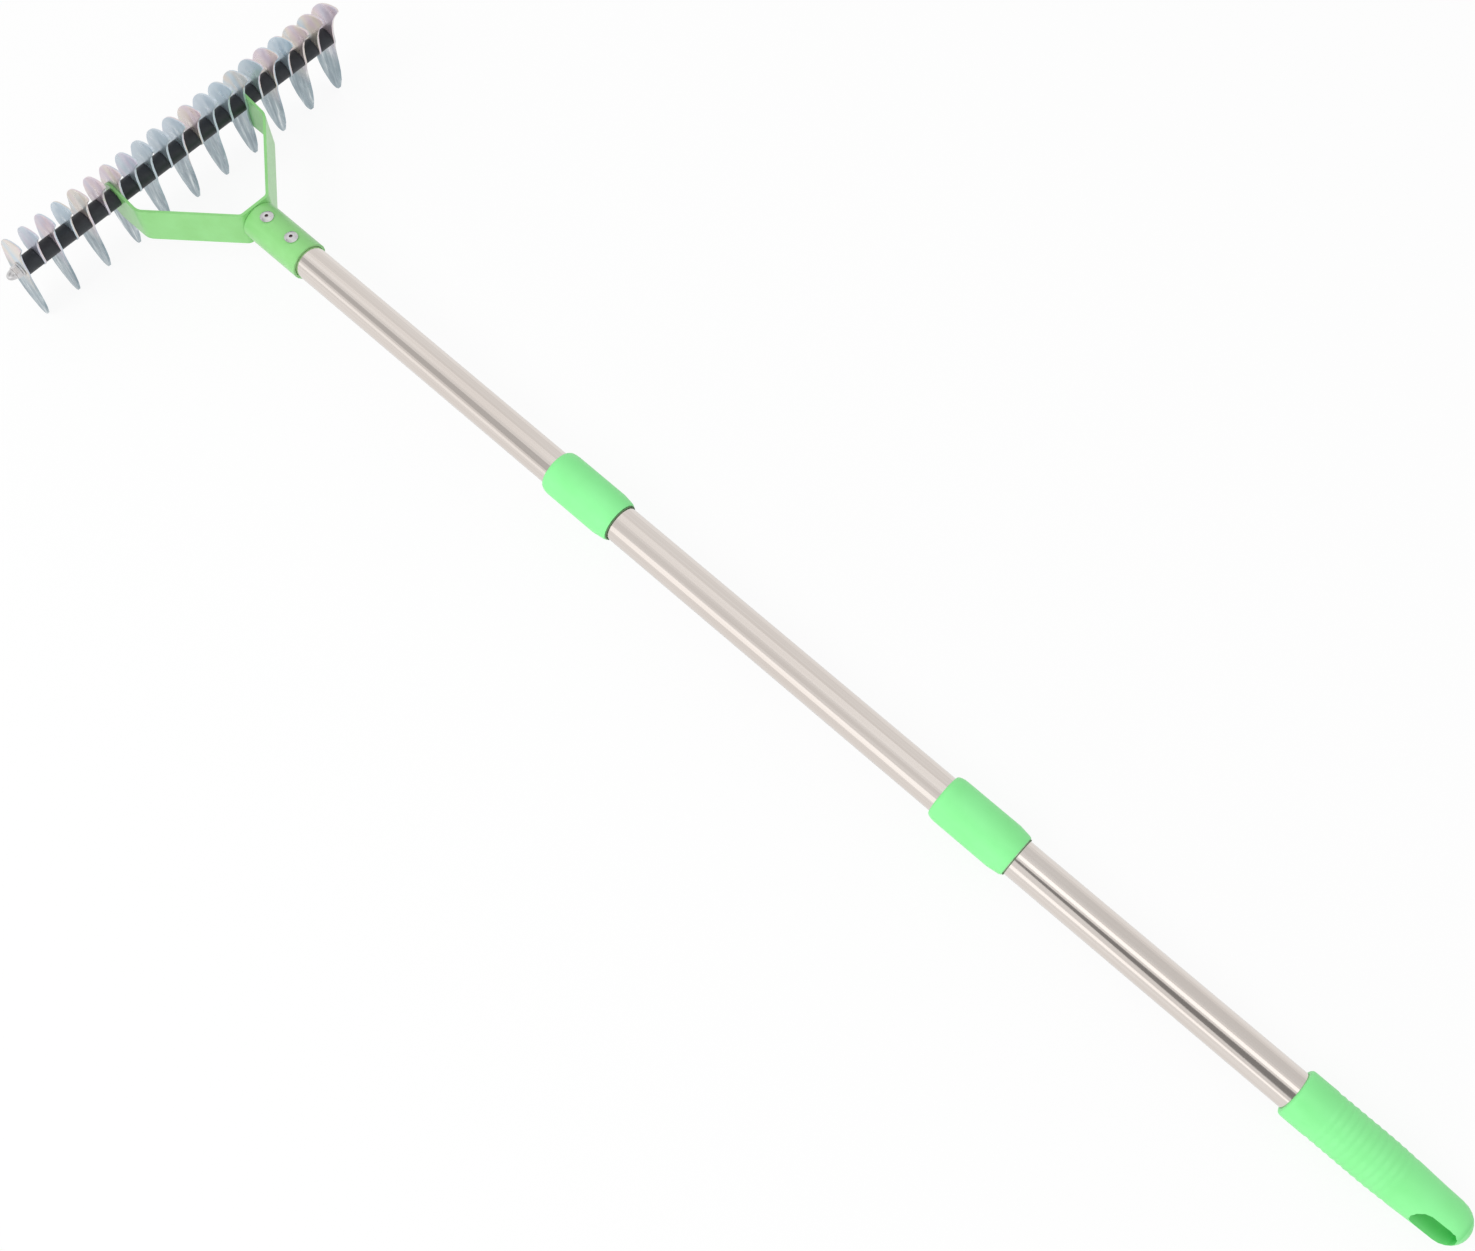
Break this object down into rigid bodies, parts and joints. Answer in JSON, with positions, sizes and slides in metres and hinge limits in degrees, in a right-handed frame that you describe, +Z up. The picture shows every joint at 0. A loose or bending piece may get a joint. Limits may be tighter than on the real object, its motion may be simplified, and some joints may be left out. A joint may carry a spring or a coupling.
{
  "type": "dethatching rake",
  "caption": "Hand dethatching rake: crescent blades with curved tines on a spaced rod, a steel fork and a straight handle of screwed steel tubes with a ribbed plastic grip.",
  "frame": {"origin": "on the ground below the middle of the rake's bounding box, with the rake lying on its tines and on the underside of its grip", "axes": "+X along the axle, +Y from the grip towards the head, +Z up"},
  "size_m": [0.3696, 1.38, 0.1267],
  "materials": {
    "zinc_steel": "pale bluish zinc plating with pink and yellow tints",
    "black_plastic": "near-black satin",
    "bright_steel": "bright plated",
    "stainless": "polished along its length, slightly warm",
    "green_paint": "satin light green powder coat",
    "green_plastic": "smooth satin light green",
    "plug_plastic": null,
    "seal_rubber": "dark"
  },
  "bodies": {
    "fork_and_upper_handle": {"fork_strap": "green_paint", "handle_socket": "green_paint", "rivet_1": "bright_steel", "rivet_2": "bright_steel", "tube_upper": "stainless", "coupling_middle": "green_plastic"},
    "head": {"blade_01": "zinc_steel", "blade_02": "zinc_steel", "blade_03": "zinc_steel", "blade_04": "zinc_steel", "blade_05": "zinc_steel", "blade_06": "zinc_steel", "blade_07": "zinc_steel", "blade_08": "zinc_steel", "blade_09": "zinc_steel", "blade_10": "zinc_steel", "blade_11": "zinc_steel", "blade_12": "zinc_steel", "blade_13": "zinc_steel", "blade_14": "zinc_steel", "blade_15": "zinc_steel", "blade_16": "zinc_steel", "blade_17": "zinc_steel", "blade_18": "zinc_steel", "blade_19": "zinc_steel", "blade_20": "zinc_steel", "blade_21": "zinc_steel", "spacer_01": "black_plastic", "spacer_02": "black_plastic", "spacer_03": "black_plastic", "spacer_04": "black_plastic", "spacer_05": "black_plastic", "spacer_06": "black_plastic", "spacer_07": "black_plastic", "spacer_08": "black_plastic", "spacer_09": "black_plastic", "spacer_10": "black_plastic", "spacer_11": "black_plastic", "spacer_12": "black_plastic", "spacer_13": "black_plastic", "spacer_14": "black_plastic", "spacer_15": "black_plastic", "spacer_16": "black_plastic", "spacer_17": "black_plastic", "spacer_18": "black_plastic", "spacer_19": "black_plastic", "spacer_20": "black_plastic", "axle_rod": "bright_steel", "washer": "bright_steel", "acorn_nut": "bright_steel"},
    "middle_seal": {"seal_ring_middle": "seal_rubber"},
    "middle_handle": {"tube_middle": "stainless", "threaded_plug_middle": "plug_plastic", "coupling_lower": "green_plastic"},
    "lower_seal": {"seal_ring_lower": "seal_rubber"},
    "lower_handle": {"tube_lower": "stainless", "threaded_plug_lower": "plug_plastic", "grip": "green_plastic"}
  },
  "joints": [
    {"name": "head_tilt", "type": "hinge", "parent": "fork_and_upper_handle", "child": "head", "pos_m": [0.0059, 0.65952, 0.07602], "axis": [1, 0, 0], "range_deg": [-35, 47]},
    {"name": "middle_slide", "type": "slide", "parent": "fork_and_upper_handle", "child": "middle_seal", "axis": [0, -0.9994, -0.0343], "range_m": [0, 0.02]},
    {"name": "middle_turn", "type": "hinge", "parent": "middle_seal", "child": "middle_handle", "pos_m": [0.0059, 0.12545, 0.04567], "axis": [0, -0.9994, -0.0343], "range_deg": [0, 1440]},
    {"name": "lower_slide", "type": "slide", "parent": "middle_handle", "child": "lower_seal", "axis": [0, -0.9994, -0.0343], "range_m": [0, 0.02]},
    {"name": "lower_turn", "type": "hinge", "parent": "lower_seal", "child": "lower_handle", "pos_m": [0.0059, -0.28741, 0.03149], "axis": [0, -0.9994, -0.0343], "range_deg": [0, 1440]}
  ],
  "couplings": [
    {"joint": "middle_slide", "follows": "middle_turn", "m_per_rad": 0.00079577},
    {"joint": "lower_slide", "follows": "lower_turn", "m_per_rad": 0.00079577}
  ]
}
